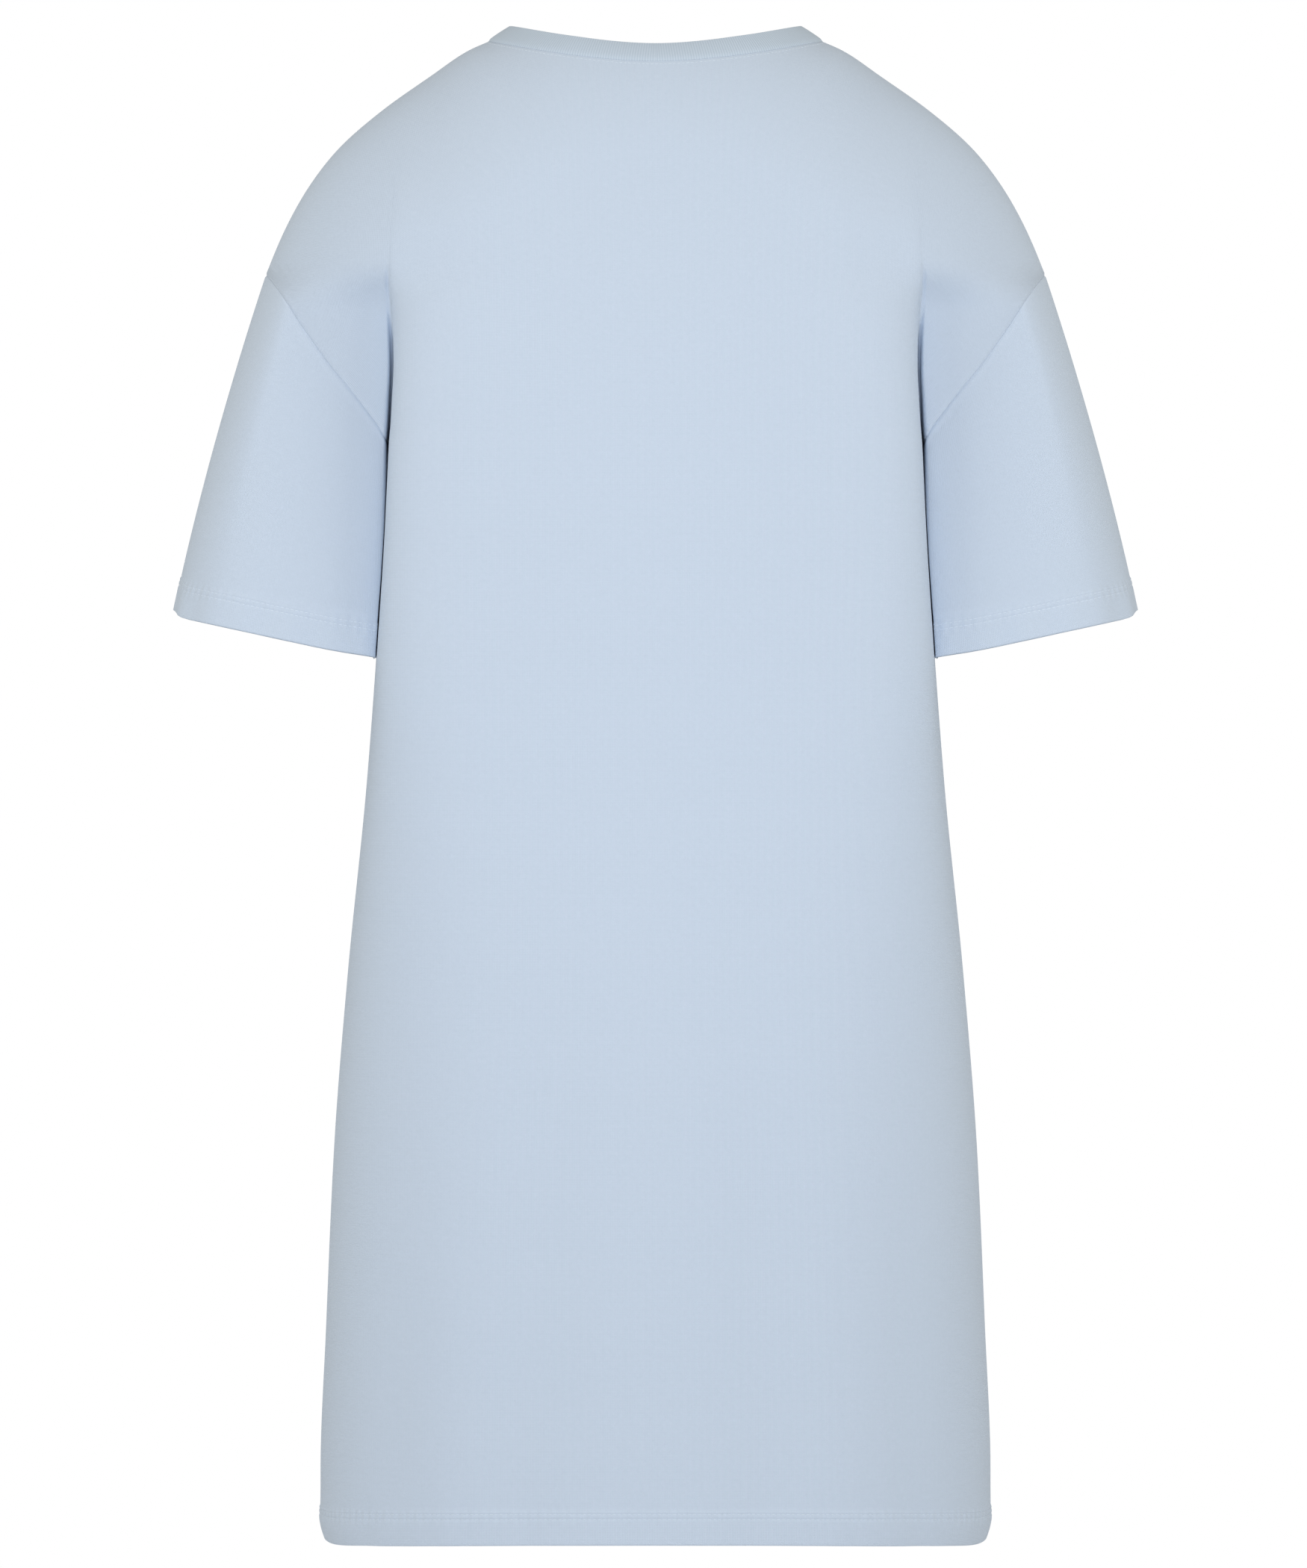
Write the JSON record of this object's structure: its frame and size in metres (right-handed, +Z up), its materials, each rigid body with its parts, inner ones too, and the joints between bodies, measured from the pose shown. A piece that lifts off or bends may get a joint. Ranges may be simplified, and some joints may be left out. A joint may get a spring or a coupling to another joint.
{
  "type": "nightshirt",
  "caption": "Oversized short-sleeved jersey nightshirt with a round ribbed neck and dropped shoulders, filled out as worn and open at neck, cuffs and hem.",
  "frame": {"origin": "in the neck opening, midway between the neck ends of the two shoulder seams, at the height where the shoulders carry the garment", "axes": "+Z up from the hem to the neck, -Y out of the front, +Y out of the back, +X towards the wearer's left"},
  "size_m": [0.5826, 0.2735, 0.9184],
  "materials": {
    "pale blue jersey": "matt fine single jersey",
    "pale blue rib": "matt one-by-one rib"
  },
  "bodies": {
    "root": {"back": "pale blue jersey", "front": "pale blue jersey", "sleeve_left": "pale blue jersey", "sleeve_right": "pale blue jersey", "neckband": "pale blue rib"}
  },
  "joints": []
}
